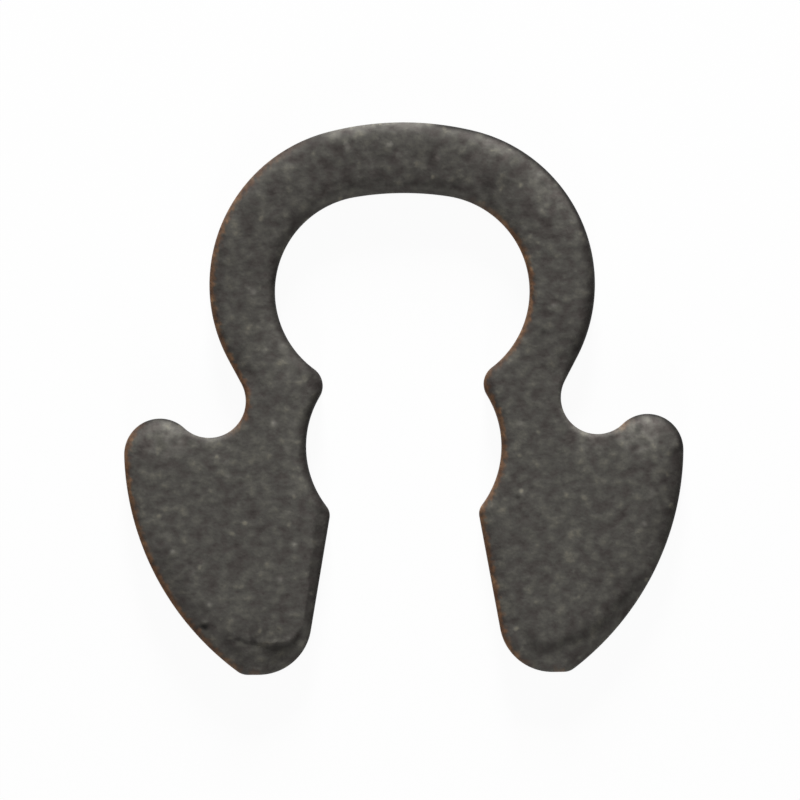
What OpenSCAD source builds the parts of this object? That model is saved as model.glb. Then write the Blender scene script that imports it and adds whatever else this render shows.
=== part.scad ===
// Radial retaining ring, stamped in one piece from spring steel strip.
// It is pushed sideways onto a grooved shaft: the tapered mouth opens, the two locking points snap
// past the groove's floor, the seat grips it, and the loop above is the spring.
//
// Frame: the origin is on the shaft's axis, halfway through the sheet. +Z is the shaft's axis and
// the upper, rolled face. +Y points from the shaft to the crown of the loop. All sizes are in mm.

/* [Sheet] */
// Thickness of the spring steel
thickness = 0.9; // [0.7:0.05:1.4]
// Reach of the die roll along the upper edge, from the outline inwards
roll_w = 0.45; // [0.2:0.01:0.55]
// Depth of the die roll below the upper face
roll_h = 0.32; // [0.1:0.01:0.4]
// Reach of the broken lower edge, from the outline inwards
burr_w = 0.15; // [0.05:0.01:0.3]
// Depth of the broken lower edge
burr_h = 0.12; // [0.05:0.01:0.25]

/* [Shaft seat] */
// Diameter of the seat, which is the floor of the shaft's groove
seat_d = 7.03; // [5.85:0.01:8.45]
// Gap between the two locking points below the seat
mouth_w = 5.37; // [4.45:0.01:6.45]
// Radius of each locking point
lock_r = 0.52; // [0.4:0.01:0.65]
// Radius of each stop point above the seat
stop_r = 0.75; // [0.6:0.01:0.9]

/* [Loop] */
// Height of the eye's top above the shaft's axis
eye_h = 9.12; // [7.6:0.01:10.95]
// Width of the eye
eye_w = 9.16; // [7.6:0.01:11]
// Radius of the eye's sides
eye_side_r = 3.45; // [2.85:0.01:4.15]
// Radius of the eye's flat top
eye_top_r = 10.6; // [8.8:0.1:12.8]
// Width of the band at the crown
crown_band = 2.55; // [2.1:0.01:3.1]
// Width of the band at the loop's sides
side_band = 2.36; // [1.95:0.01:2.85]
// Outer radius of the loop's sides
loop_side_r = 5.68; // [4.7:0.01:6.8]
// Outer radius of the crown
loop_top_r = 10.8; // [9:0.1:13]

/* [Lugs] */
// Diameter of the circle that the two lugs' outer edges lie on, the ring's whole width
lug_d = 20.14; // [16.75:0.01:24.2]
// Angle from the X axis down to the lug's outer lower corner
lug_sweep = 54.2; // [45:0.1:58]
// Radius of the lobe at the top of each lug
lobe_r = 1.29; // [1.05:0.01:1.55]
// Angle of the lobe's centre below the X axis
lobe_turn = 1.3; // [0:0.1:4]
// Distance of the notch's centre from the ring's middle line
notch_x = 6.99; // [5.8:0.01:8.4]
// Height of the notch's centre above the shaft's axis
notch_y = 1.7; // [1.4:0.01:2.1]
// Angle of each mouth edge from the middle line
taper = 10; // [5:0.5:15]
// Radius of the lug's inner lower corner, at the mouth
toe_r = 1.9; // [1:0.01:2.3]
// Radius of the lug's outer lower corner
heel_r = 0.6; // [0.48:0.01:1.3]

/* [Lug tips] */
// Length of the pressed lead-in at each lug's tip
lead_l = 1.1; // [0.6:0.05:1.6]
// Depth that the lead-in loses at the very tip
lead_drop = 0.15; // [0.05:0.01:0.25]
// Angle of the lead-in's slope below the X axis
lead_turn = 76; // [60:1:90]

/* [Hidden] */

steel = [0.30, 0.29, 0.275];

// The seat is blanked under size on the radius and then shaved true by a round punch.
shave = 0.01;
// Largest gap between an arc and the flats that stand for it
flat_gap = 0.006;
// Length that a band of the rim, or a cutter, runs on past the face that it meets
overrun = 0.05;
// Length that the core of the blank reaches into the rim, so that the two join
overlap = 0.02;
// Smallest radius left to a corner where the rim is as wide as the corner
corner_min = 0.03;

seat_r = seat_d / 2;
blank_r = seat_r - shave;
lug_r = lug_d / 2;
top_z = thickness / 2;

function dir(a) = [cos(a), sin(a)];
function heading(v) = atan2(v.y, v.x);
// The angle a, raised by whole turns until it is at least as large as b
function past(a, b) = a < b ? past(a + 360, b) : a;
// Centre of the circle that touches two others on the outside, on the right of the line between them
function touching(c1, r1, c2, r2) =
    let (
        d = norm(c2 - c1),
        u = (c2 - c1) / d,
        along = (r1 * r1 - r2 * r2 + d * d) / (2 * d),
        aside = sqrt(r1 * r1 - along * along)
    )
    c1 + along * u + aside * [u.y, -u.x];

// Loop: a flat arc over the top and a rounder one down each side, outside and inside
crown_h = eye_h + crown_band;
crown_c = [0, crown_h - loop_top_r];
loop_side_x = eye_w / 2 + side_band - loop_side_r;
loop_side_c = [loop_side_x, crown_c.y + sqrt(pow(loop_top_r - loop_side_r, 2) - pow(loop_side_x, 2))];
eye_top_c = [0, eye_h - eye_top_r];
eye_side_x = eye_w / 2 - eye_side_r;
eye_side_c = [eye_side_x, eye_top_c.y + sqrt(pow(eye_top_r - eye_side_r, 2) - pow(eye_side_x, 2))];

// Stop point: rounded onto both the seat and the eye
stop_c = touching([0, 0], blank_r + stop_r, eye_side_c, eye_side_r + stop_r);

// Lobe and notch: the notch is as round as the nearer of its two neighbours lets it be
lobe_c = (lug_r - lobe_r) * dir(-lobe_turn);
notch_c = [notch_x, notch_y];
notch_r = min(norm(notch_c - loop_side_c) - loop_side_r, norm(lobe_c - notch_c) - lobe_r);
neck_turn = heading(notch_c - loop_side_c) + acos((loop_side_r + notch_r) / norm(notch_c - loop_side_c));
notch_end = heading(lobe_c - notch_c) - acos((lobe_r + notch_r) / norm(lobe_c - notch_c));

// Locking point: rounded onto the seat and onto the straight edge of the mouth
lock_x = mouth_w / 2 + lock_r;
lock_c = [lock_x, -sqrt(pow(blank_r + lock_r, 2) - pow(lock_x, 2))];
mouth_n = 180 + taper;

// Lug's tip: a flat end between the outer corner and the inner one, which is cut down to fit
tip_y = -lug_r * sin(lug_sweep);
heel_y = tip_y + heel_r;
heel_c = [sqrt(pow(lug_r - heel_r, 2) - pow(heel_y, 2)), heel_y];
function toe_x(r) = lock_c.x + (lock_r - r - (tip_y + r - lock_c.y) * sin(mouth_n)) / cos(mouth_n);
toe_room = (heel_c.x - toe_x(0)) / (toe_x(1) - toe_x(0));
toe_used = min(toe_r, toe_room);
toe_c = [toe_x(toe_used), tip_y + toe_used];

// The right half of the outline, clockwise from the crown to the eye's top. Each arc is
// [centre, radius, start angle, end angle], and a hollow arc's radius is below zero.
// Straight edges are left between two arcs whose ends don't meet.
right_arcs = [
    [loop_side_c, loop_side_r, heading(loop_side_c - crown_c), neck_turn],
    [notch_c, -notch_r, neck_turn + 180, past(notch_end, neck_turn + 180)],
    [lobe_c, lobe_r, past(notch_end + 180, -lobe_turn), -lobe_turn],
    [[0, 0], lug_r, -lobe_turn, heading(heel_c)],
    [heel_c, heel_r, heading(heel_c), -90],
    [toe_c, toe_used, -90, mouth_n - 360],
    [lock_c, lock_r, mouth_n, 180 + heading(lock_c)],
    [[0, 0], -blank_r, heading(lock_c), heading(stop_c)],
    [stop_c, stop_r, 180 + heading(stop_c), heading(eye_side_c - stop_c)],
    [eye_side_c, -eye_side_r, heading(stop_c - eye_side_c), heading(eye_side_c - eye_top_c)]
];
function mirrored(a) = [[-a[0].x, a[0].y], a[1], 180 - a[3], 180 - a[2]];
crown_turn = heading(loop_side_c - crown_c);
eye_turn = heading(eye_side_c - eye_top_c);
arcs = [
    [crown_c, loop_top_r, 180 - crown_turn, crown_turn],
    each right_arcs,
    [eye_top_c, -eye_top_r, eye_turn, 180 - eye_turn],
    each [for (i = [len(right_arcs) - 1:-1:0]) mirrored(right_arcs[i])]
];

// An arc moved into the steel by inset: a hollow one grows, and a round one shrinks to corner_min. From
// there its centre moves in as well, so that it goes on touching the two moved edges beside it.
function moved_r(a, inset) = a[1] > 0 ? max(a[1] - inset, corner_min) : inset - a[1];
function moved_c(a, inset) = a[1] < 0 || a[1] - inset >= corner_min
    ? a[0]
    : a[0] - (inset - a[1] + corner_min) / cos((a[3] - a[2]) / 2) * dir((a[2] + a[3]) / 2);

// Points along one arc. A shift of half puts them between the usual ones.
function flats(a) = max(2, ceil(abs(a[3] - a[2]) / (2 * acos(1 - flat_gap / abs(a[1])))));
function arc_points(a, inset, shift) =
    let (n = flats(a))
    [for (i = [0:n - (shift > 0 ? 1 : 0)])
        moved_c(a, inset) + moved_r(a, inset) * dir(a[2] + (a[3] - a[2]) * (i + shift) / n)];
function all_points(inset, shift) = [for (a = arcs) each arc_points(a, inset, shift)];

// Two arcs that meet give the same point twice. One of the two is kept, and it's the round arc's.
bare = all_points(0, 0);
hollow = [for (a = arcs) for (i = [0:flats(a)]) a[1] < 0];
function meets(i) = norm(bare[i] - bare[(i + 1) % len(bare)]) < overlap;
function hollow_next(i) = hollow[(i + 1) % len(bare)] && !hollow[i];
kept = [for (i = [0:len(bare) - 1])
    let (before = (i + len(bare) - 1) % len(bare))
    if (!(meets(i) && !hollow_next(i)) && !(meets(before) && hollow_next(before))) i];
function outline(inset) =
    let (p = all_points(inset, 0))
    [for (i = kept) p[i]];

// Section of the rim, as [inset, height]: a quarter ellipse at each edge, whose last flat runs on
// through the face of the sheet, so that the faces can be cut off level
function ellipse_at(w, h, a) = [w * (1 - cos(a)), h * (1 - sin(a))];
function edge_flats(w, h, n) =
    let (
        p = [for (i = [0:n]) ellipse_at(w, h, 90 * i / n)],
        last = (p[n] - p[n - 1]) * overrun / (p[n].x - p[n - 1].x)
    )
    [for (i = [0:n]) i < n ? p[i] : p[n] + last];
upper_edge = [for (p = edge_flats(roll_w, roll_h, 4)) [p.x, top_z - p.y]];
lower_edge = [for (p = edge_flats(burr_w, burr_h, 2)) [p.x, p.y - top_z]];
rim_section = [
    each upper_edge,
    [roll_w + overrun + overlap, 0],
    [roll_w + overrun, lower_edge[2].y],
    each [for (i = [2:-1:0]) lower_edge[i]]
];

// The rolled rim, a closed band that follows the whole outline
module rim() {
    n = len(kept);
    m = len(rim_section);
    polyhedron(
        points = [for (s = rim_section) for (p = outline(s.x)) [p.x, p.y, s.y]],
        faces = [for (k = [0:m - 1]) for (i = [0:n - 1])
            [k * n + i, k * n + (i + 1) % n, (k + 1) % m * n + (i + 1) % n, (k + 1) % m * n + i]]
    );
}

// The flat of the sheet inside the rim
module core() {
    linear_extrude(thickness + 2 * overrun, center = true)
        polygon(all_points(roll_w + overlap, 0.5));
}

// The pressed lead-in of one lug: everything above a slope that falls towards the tip
module lead_in() {
    reach = heel_c * dir(-lead_turn) + heel_r - lead_l;
    rotate(-lead_turn)
        translate([reach, 0, top_z])
            rotate([0, atan(lead_drop / lead_l), 0])
                translate([0, -lug_r, 0])
                    cube([2 * lead_l, 2 * lug_r, thickness]);
}

module retaining_ring() {
    color(steel)
        difference() {
            intersection() {
                union() {
                    rim();
                    core();
                }
                cube([2 * lug_d, 2 * lug_d, thickness], center = true);
            }
            cylinder(r = seat_r, h = 2 * thickness, center = true, $fn = 180);
            lead_in();
            mirror([1, 0, 0]) lead_in();
        }
}

retaining_ring();
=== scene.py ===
# %% [markdown]
# # A radial retaining ring, blanked from spring steel
#
# The real ring is pushed sideways onto a grooved shaft. Two locking points snap past the floor of the groove,
# the seat grips it, and the loop above them is the spring. It is blanked from strip in one stroke, tumbled, and
# given a dark phosphate coat that holds oil. So it is one piece, and this lesson makes one mesh and one finish.
#
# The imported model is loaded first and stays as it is. It gives the box that the new mesh has to fill.

# %% Load the frame
import math

import bpy
import numpy as np
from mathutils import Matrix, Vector
from mathutils.geometry import delaunay_2d_cdt


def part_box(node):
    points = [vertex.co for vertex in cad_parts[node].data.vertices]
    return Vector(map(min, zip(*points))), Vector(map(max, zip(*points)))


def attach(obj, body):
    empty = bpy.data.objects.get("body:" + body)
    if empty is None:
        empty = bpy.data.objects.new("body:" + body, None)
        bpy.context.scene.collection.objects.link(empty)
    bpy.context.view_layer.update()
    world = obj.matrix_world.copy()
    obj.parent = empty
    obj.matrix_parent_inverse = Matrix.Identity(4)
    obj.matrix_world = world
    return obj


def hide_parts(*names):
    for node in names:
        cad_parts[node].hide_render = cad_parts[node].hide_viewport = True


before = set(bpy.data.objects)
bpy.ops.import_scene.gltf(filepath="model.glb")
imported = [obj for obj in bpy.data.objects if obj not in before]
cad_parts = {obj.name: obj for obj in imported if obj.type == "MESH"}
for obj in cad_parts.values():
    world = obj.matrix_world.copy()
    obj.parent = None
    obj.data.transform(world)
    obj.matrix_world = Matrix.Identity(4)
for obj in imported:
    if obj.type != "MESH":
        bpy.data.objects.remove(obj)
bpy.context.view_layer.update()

NODE = "retaining_ring"
MM = 0.001
node_low, node_high = (np.array(corner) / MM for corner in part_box(NODE))
thickness = node_high[2] - node_low[2]
top = thickness / 2
print("the ring is", np.round(node_high - node_low, 3), "mm, and the steel is", round(thickness, 3), "mm thick")

# %% [markdown]
# ## The outline
#
# A blanking punch is ground from arcs and straight lines, so the outline is a chain of arcs that touch each
# other. It could be drawn as a curve, but a chain of arcs is better here: the distance from any point to it can
# be worked out exactly, and the whole shape of the steel follows from that distance.
#
# Two arcs touch where the distance between their centres is the sum of their radii, or the difference if one
# curls inside the other. Each centre below is placed by that rule. Only the right half is worked out, clockwise
# from the crown, and the left half is its mirror image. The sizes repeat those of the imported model.

# %% Sizes of the ring, in mm and degrees
seat_r, stop_r, lock_r = 3.515, 0.75, 0.52
mouth_half, taper = 2.685, 10.0
eye_h, eye_half, eye_side_r, eye_top_r = 9.12, 4.58, 3.45, 10.6
crown_band, side_band, loop_side_r, loop_top_r = 2.55, 2.36, 5.68, 10.8
lug_r, lug_sweep, toe_r, heel_r = 10.07, 54.2, 1.9, 0.6
lobe_r, lobe_turn, notch_c = 1.29, 1.3, np.array([6.99, 1.70])
print("the groove's floor is", 2 * seat_r, "mm across, and the mouth is", 2 * mouth_half, "mm wide")


# %% Helpers for arcs
def direction(degrees):
    """The unit vector that points along an angle: (cos, sin)."""
    a = np.radians(degrees)
    return np.stack([np.cos(a), np.sin(a)], axis=-1)


def heading(v):
    """The angle of a vector, in degrees."""
    return math.degrees(math.atan2(v[1], v[0]))


def past(a, b):
    """The angle a, raised by whole turns until it is at least as large as b."""
    return a + 360 * max(0, math.ceil((b - a) / 360))


def leg(long_side, short_side):
    """The third side of a right-angled triangle: sqrt(long^2 - short^2)."""
    return math.sqrt(long_side**2 - short_side**2)


print("a step of 30 degrees points along", direction(30).round(3))

# %% Centres of the loop and the eye
crown_c = np.array([0, eye_h + crown_band - loop_top_r])
side_x = eye_half + side_band - loop_side_r
side_c = np.array([side_x, crown_c[1] + leg(loop_top_r - loop_side_r, side_x)])
eye_top_c = np.array([0, eye_h - eye_top_r])
eye_x = eye_half - eye_side_r
eye_c = np.array([eye_x, eye_top_c[1] + leg(eye_top_r - eye_side_r, eye_x)])
crown_turn, eye_turn = heading(side_c - crown_c), heading(eye_c - eye_top_c)
print("the loop's side turns about", side_c.round(2), "and the eye's about", eye_c.round(2))

# %% Centre of the stop point, between the seat and the eye
reach = np.linalg.norm(eye_c)
along = ((seat_r + stop_r) ** 2 - (eye_side_r + stop_r) ** 2 + reach**2) / (2 * reach)
unit = eye_c / reach
stop_c = along * unit + leg(seat_r + stop_r, along) * np.array([unit[1], -unit[0]])
print("stop point at", stop_c.round(2))

# %% Centres of the lobe and the notch
lobe_c = (lug_r - lobe_r) * direction(-lobe_turn)
to_side, to_lobe = np.linalg.norm(notch_c - side_c), np.linalg.norm(lobe_c - notch_c)
notch_r = min(to_side - loop_side_r, to_lobe - lobe_r)
neck = heading(notch_c - side_c) + math.degrees(math.acos(min(1, (loop_side_r + notch_r) / to_side)))
notch_end = heading(lobe_c - notch_c) - math.degrees(math.acos(min(1, (lobe_r + notch_r) / to_lobe)))
print("lobe at", lobe_c.round(2), "and a notch", round(2 * notch_r, 2), "mm across")

# %% Centres of the locking point, the heel and the toe
mouth_turn = 180 + taper
lock_x = mouth_half + lock_r
lock_c = np.array([lock_x, -leg(seat_r + lock_r, lock_x)])
tip_y = -lug_r * math.sin(math.radians(lug_sweep))
heel_c = np.array([leg(lug_r - heel_r, tip_y + heel_r), tip_y + heel_r])
slope = direction(mouth_turn)
toe_x = lock_c[0] + (lock_r - toe_r - (tip_y + toe_r - lock_c[1]) * slope[1]) / slope[0]
toe_c = np.array([toe_x, tip_y + toe_r])
print("locking point at", lock_c.round(2), "and the tip at", round(tip_y, 3), "mm, where the packed one is at",
      node_low[1].round(3))

# %% Chain the arcs: name, centre, radius (below zero where it's hollow), start and end
right_half = [
    ("side", side_c, loop_side_r, crown_turn, neck),
    ("notch", notch_c, -notch_r, neck + 180, past(notch_end, neck + 180)),
    ("lobe", lobe_c, lobe_r, past(notch_end + 180, -lobe_turn), -lobe_turn),
    ("lug", np.zeros(2), lug_r, -lobe_turn, heading(heel_c)),
    ("heel", heel_c, heel_r, heading(heel_c), -90),
    ("toe", toe_c, toe_r, -90, mouth_turn - 360),
    ("lock", lock_c, lock_r, mouth_turn, 180 + heading(lock_c)),
    ("seat", np.zeros(2), -seat_r, heading(lock_c), heading(stop_c)),
    ("stop", stop_c, stop_r, 180 + heading(stop_c), heading(eye_c - stop_c)),
    ("eye", eye_c, -eye_side_r, heading(stop_c - eye_c), eye_turn),
]
left_half = [(name, c * [-1, 1], r, 180 - end, 180 - start) for name, c, r, start, end in reversed(right_half)]
chain = [("crown", crown_c, loop_top_r, 180 - crown_turn, crown_turn), *right_half,
         ("eye_top", eye_top_c, -eye_top_r, eye_turn, 180 - eye_turn), *left_half]
arc_name, arc_c, arc_r, arc_start, arc_end = (np.array(column) for column in zip(*chain))
print(len(chain), "arcs, of which", (arc_r < 0).sum(), "are hollow")

# %% [markdown]
# ## Points along the outline
#
# Each point has a normal that points out of the steel, because everything on the rim is measured along it:
# moving every point inwards along its normal gives a new outline that runs beside the first one. The points
# could be evenly spaced, but small arcs get closer ones here, so that the locking points stay round.

# %% Points on the arcs
STEP = 0.07          # mm between points on a large arc
TURN_STEP = 6        # most degrees between points on a small one


def spread(counts):
    """For counts (3, 2): which run each sample is in, [0 0 0 1 1], and how far along it, [0 1/3 2/3 0 1/2]."""
    run = np.repeat(np.arange(len(counts)), counts)
    first = np.repeat(np.cumsum(counts) - counts, counts)
    return run, (np.arange(counts.sum()) - first) / counts[run]


arc_size, arc_side = np.abs(arc_r), np.sign(arc_r)
sweep = np.abs(arc_end - arc_start)
arc_steps = np.ceil(np.maximum(np.radians(sweep) * arc_size / STEP, sweep / TURN_STEP)).astype(int)
on_arc, t = spread(arc_steps)
spoke = direction(arc_start[on_arc] + t * (arc_end - arc_start)[on_arc])
arc_points = arc_c[on_arc] + arc_size[on_arc, None] * spoke
arc_normals = arc_side[on_arc, None] * spoke
print(len(arc_points), "points on the arcs")

# %% Points on the straight edges, where two arcs don't meet
JOIN = 1e-3          # mm: arcs nearer than this meet
arc_begins = arc_c + arc_size[:, None] * direction(arc_start)
arc_ends = arc_c + arc_size[:, None] * direction(arc_end)
gap = np.roll(arc_begins, -1, axis=0) - arc_ends
gap_size = np.linalg.norm(gap, axis=1)
line_steps = np.where(gap_size > JOIN, np.ceil(gap_size / STEP), 0).astype(int)
lines = np.flatnonzero(line_steps)
line_from, line_along = arc_ends[lines], gap[lines]
line_normal = arc_side[lines, None] * direction(arc_end[lines])
after_arc, t = spread(line_steps)
line_points = arc_ends[after_arc] + t[:, None] * gap[after_arc]
line_normals = arc_side[after_arc, None] * direction(arc_end[after_arc])
line_names = np.where(np.abs(line_normals[:, 0]) > 0.5, "mouth", "tip")
print(len(line_points), "points on", len(lines), "straight edges")

# %% All points in the order in which they're met
order = np.argsort(np.concatenate([2 * on_arc, 2 * after_arc + 1]), kind="stable")
edge = np.concatenate([arc_points, line_points])[order]
edge_normal = np.concatenate([arc_normals, line_normals])[order]
edge_name = np.concatenate([arc_name[on_arc], line_names])[order]
edge_step = np.linalg.norm(np.roll(edge, -1, axis=0) - edge, axis=1)
print(len(edge), "points round an outline of", round(edge_step.sum(), 2), "mm, in a box from",
      np.round(edge.min(0), 3), "to", np.round(edge.max(0), 3))

# %% [markdown]
# ## How deep a point lies in the steel
#
# Sheared steel rolls over more at a point, where two edges pull on it, and less in a hollow. A plain distance
# to the outline doesn't know that, and has a sharp ridge along the middle of the band. So a second, smooth
# distance is used for the shape: every millimetre of the edge pulls on a place, more strongly the nearer it is,
# and the pull is turned back into a distance. The same pull gives the mean of any value along the edge.


# %% The plain depth
def depth_at(points):
    """Distance inside the outline, below zero outside. For each arc that faces the point it's
    (radius - distance from the centre) * side, for each line it's the distance behind it, and the
    smallest in size counts."""
    v = points[:, None] - arc_c[None]
    off = np.degrees(np.arctan2(v[..., 1], v[..., 0])) - (arc_start + arc_end) / 2
    faces = np.abs((off + 180) % 360 - 180) <= sweep / 2 + 1e-6
    to_arc = np.where(faces, (arc_size - np.linalg.norm(v, axis=2)) * arc_side, np.inf)
    w = points[:, None] - line_from[None]
    share = (w * line_along).sum(2) / (line_along**2).sum(1)
    to_line = np.where((share >= 0) & (share <= 1), -(w * line_normal).sum(2), np.inf)
    both = np.concatenate([to_arc, to_line], axis=1)
    return np.take_along_axis(both, np.abs(both).argmin(1)[:, None], 1)[:, 0]


MIDDLES = np.array([[0, eye_h + crown_band / 2], [lug_r * 0.7, -3.0]])
print("depth in the middle of the crown and of a lug:", depth_at(MIDDLES).round(3))

# %% The smooth depth
PULL = 6             # the pull falls off with this power of the distance
PULL_ON_LINE = math.sqrt(math.pi) * math.gamma((PULL - 1) / 2) / math.gamma(PULL / 2)
AT_ONCE = 4000       # points worked on together, so that the table of distances stays small


def feel_edge(points, plain, table):
    """The smooth depth, (sum of edge length / distance^PULL, over its value one millimetre from a long straight
    edge) ^ (-1 / (PULL - 1)), and the mean of a table of values along the edge, weighted by the same pull.
    The samples are too coarse very near the edge, where the plain depth is used."""
    here, table = edge.astype(np.float32), table.astype(np.float32)
    length = ((edge_step + np.roll(edge_step, 1)) / 2).astype(np.float32)
    pull, mean = [], []
    for some in np.array_split(points.astype(np.float32), max(1, len(points) // AT_ONCE)):
        weight = length / (((some[:, None] - here[None]) ** 2).sum(2) + 1e-5) ** (PULL // 2)
        pull.append(weight.sum(1))
        mean.append(weight @ table / pull[-1][:, None])
    smooth = (np.concatenate(pull) / PULL_ON_LINE) ** (-1 / (PULL - 1))
    near = np.clip((plain - STEP) / (2 * STEP), 0, 1)
    return plain * (1 - near) + smooth * near, np.concatenate(mean)


print("felt as", feel_edge(MIDDLES, depth_at(MIDDLES), np.ones((len(edge), 1)))[0].round(3))

# %% [markdown]
# ## The section of the edge
#
# When a punch shears strip, the face that it enters is drawn down into a soft roll. Below the roll comes a
# smooth burnished band, then a rougher band where the steel tore, and a small broken edge at the foot.
# Tumbling rounds all of it further, and leaves a broad, faint pillow on the upper face. A worn punch cuts one
# side cleaner than another, and on this ring the mouth's left edge has a straight bevel.
#
# A bevel modifier would give one rounding everywhere. Here each named part of the outline has its own three
# falls, a roll, a pillow and a bevel, each with a reach and a depth, and they fade into each other on the way.

# %% How far, and how deep, the upper edge falls, part by part, in mm
SECTION = {          # the reach and depth of the roll, of the pillow and of the bevel
    "crown": (0.42, 0.28, 1.15, 0.12, 1, 0),
    "shoulder": (0.46, 0.29, 1.25, 0.17, 1, 0),
    "side": (0.46, 0.34, 1.05, 0.05, 1, 0),
    "eye_top": (0.38, 0.17, 1.25, 0.13, 1, 0),
    "eye": (0.42, 0.34, 1, 0, 1, 0),
    "stop": (0.46, 0.33, 1, 0.03, 1, 0),
    "left_stop": (0.38, 0.24, 1, 0, 0.75, 0.18),
    "seat": (0.44, 0.34, 1, 0.02, 1, 0),
    "lock": (0.34, 0.27, 1, 0, 0.60, 0.08),
    "left_lock": (0.17, 0.13, 1, 0, 0.60, 0.22),
    "mouth": (0.30, 0.20, 1, 0, 0.62, 0.16),
    "left_mouth": (0.17, 0.13, 1, 0, 0.60, 0.22),
    "notch": (0.21, 0.20, 1, 0, 1, 0),
    "lobe": (0.50, 0.29, 1.10, 0.16, 1, 0),
    "lug": (0.44, 0.26, 1.20, 0.08, 1, 0),
    "left_lug": (0.38, 0.24, 1.10, 0.04, 1, 0),
    "low_lug": (0.42, 0.27, 1.30, 0.08, 1, 0),
    "left_low_lug": (0.36, 0.18, 1.20, 0.04, 1, 0),
    "heel": (0.42, 0.27, 1.25, 0.08, 1, 0),
    "tip": (0.16, 0.14, 1.10, 0.02, 1, 0),
    "toe": (0.40, 0.27, 1.15, 0.05, 1, 0),
    "left_toe": (0.20, 0.14, 1, 0, 0.60, 0.08),
}
print("the deepest of", len(SECTION), "rolls takes", max(row[1] for row in SECTION.values()), "mm of the steel's",
      thickness.round(3))

# %% [markdown]
# ## The shade of the edge
#
# The colour isn't the same all over either. The rolled edges are made darker with painted shade, and the
# crown's edge, the notches and a few other edges are made paler with a painted highlight instead. Where an edge
# faces down towards the tips, a narrow painted highlight lies on its roll as well. Those bands are painted later,
# but they follow the same parts of the outline, so their table stands here, next to the section's.

# %% How much painted shade darkens each edge, how far in mm and over which share of that it fades, and how pale its painted highlight line is
SHADE = {            # below zero the edge gets a painted highlight instead
    "crown": (-0.50, 0.37, 0.75, 0),
    "shoulder": (0.95, 0.19, 0.8, 0),
    "side": (0.60, 0.48, 1.0, 0),
    "eye_top": (0.16, 0.66, 0.5, 0.46),
    "eye": (0.74, 0.25, 1.0, 0),
    "left_stop": (0.38, 0.62, 0.6, 0),
    "seat": (0.74, 0.31, 1.0, 0),
    "left_lock": (0.40, 0.64, 0.16, 0),
    "left_mouth": (0.40, 0.64, 0.16, 0),
    "notch": (-0.16, 0.20, 0.8, 0),
    "lobe": (1.0, 0.22, 0.95, 0),
    "lug": (0.31, 0.95, 0.5, 0),
    "left_lug": (0.04, 0.50, 1.0, 0),
    "low_lug": (0.10, 1.55, 0.5, 0.22),
    "left_low_lug": (0.30, 1.10, 0.45, 0.36),
    "heel": (0.14, 1.0, 1.0, 0.36),
    "tip": (-0.04, 0.30, 1.0, 0.42),
    "toe": (0.02, 0.30, 1.0, 0.27),
    "left_toe": (-0.26, 0.25, 0.7, 0.27),
}
USUAL_SHADE = (0.32, 0.30, 1.0, 0)
print(sum(row[0] < 0 for row in SHADE.values()), "of the edges are rubbed paler")

# %% Name the part that each point of the edge belongs to
EYE_TURNS = 6.3              # mm: the eye's edge above this height is its top
SHOULDER_FROM = (1.2, 7.6)   # mm: the crown right of and above this is the right shoulder
LOW = -3.6                   # mm: the lugs' edge below this height
x, y = edge.T
part = np.where((edge_name == "eye") & (y > EYE_TURNS), "eye_top", edge_name)
part = np.where((x > SHOULDER_FROM[0]) & (y > SHOULDER_FROM[1]) & (edge_normal[:, 1] > 0), "shoulder", part)
part = np.where((edge_name == "lug") & (y < LOW), "low_lug", part)
left = (x < 0) & np.isin(part, ["stop", "toe", "mouth", "lock", "lug", "low_lug"])
part = np.where(left, np.char.add("left_", part), part)
print("points per part:", dict(zip(*(column.tolist() for column in np.unique(part, return_counts=True)))))

# %% One table for the whole edge
SOFTEN = 0.5                             # mm of edge over which one part turns into the next
SECTION_COLUMNS, SHADE_COLUMNS = slice(0, 6), slice(6, 11)
BEVEL_REACH, BEVEL_DEPTH, SHADE_REACH, LINE = 4, 5, 7, 9
NARROWS_FROM, NARROWS_OVER = -1.6, 4.2   # mm: the left bevel of the mouth narrows on the way down,
NARROWS_BY = 0.45                        # by this share of its width
TIP_BROWN = 0.3                          # how brown the tips' edges are, where those that face left are 1


def smooth_step(x):
    """0 below 0, 1 above 1, and 3x^2 - 2x^3 between them."""
    x = np.clip(x, 0, 1)
    return x * x * (3 - 2 * x)


def soften(values, reach):
    """The mean of the values within reach along the outline, weighted by a raised cosine."""
    half_width = int(reach / STEP)
    weight = np.hanning(2 * half_width + 3)[1:-1]
    return sum(w * np.roll(values, k, axis=0) for k, w in enumerate(weight, -half_width)) / weight.sum()


edge_table = np.array([SECTION[name] + SHADE.get(name, USUAL_SHADE) for name in part], float)
narrows = 1 - NARROWS_BY * np.clip((NARROWS_FROM - y) / NARROWS_OVER, 0, 1)
for column in (BEVEL_REACH, BEVEL_DEPTH, SHADE_REACH):
    edge_table[:, column] *= np.where(part == "left_mouth", narrows, 1)
faces_down = smooth_step((-edge_normal[:, 1] - 0.7) / 0.25)
edge_table[:, LINE] *= np.where(part == "eye_top", faces_down, 1)       # the eye's upper corners have no line
# How much brown is painted on each edge, where it stands for a warm light from the left; the tips get a little of
# it, and the painted shade is fainter under it
faces_left = smooth_step((-edge_normal[:, 0] - 0.25) / 0.7) * (1 - 0.55 * np.clip(edge_normal[:, 1], 0, 1))
faces_left = np.where(part == "tip", TIP_BROWN, faces_left)
edge_table = np.column_stack([soften(edge_table, SOFTEN), faces_left])
print("the edge's table has", edge_table.shape[1], "columns for", len(edge_table), "points")


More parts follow.
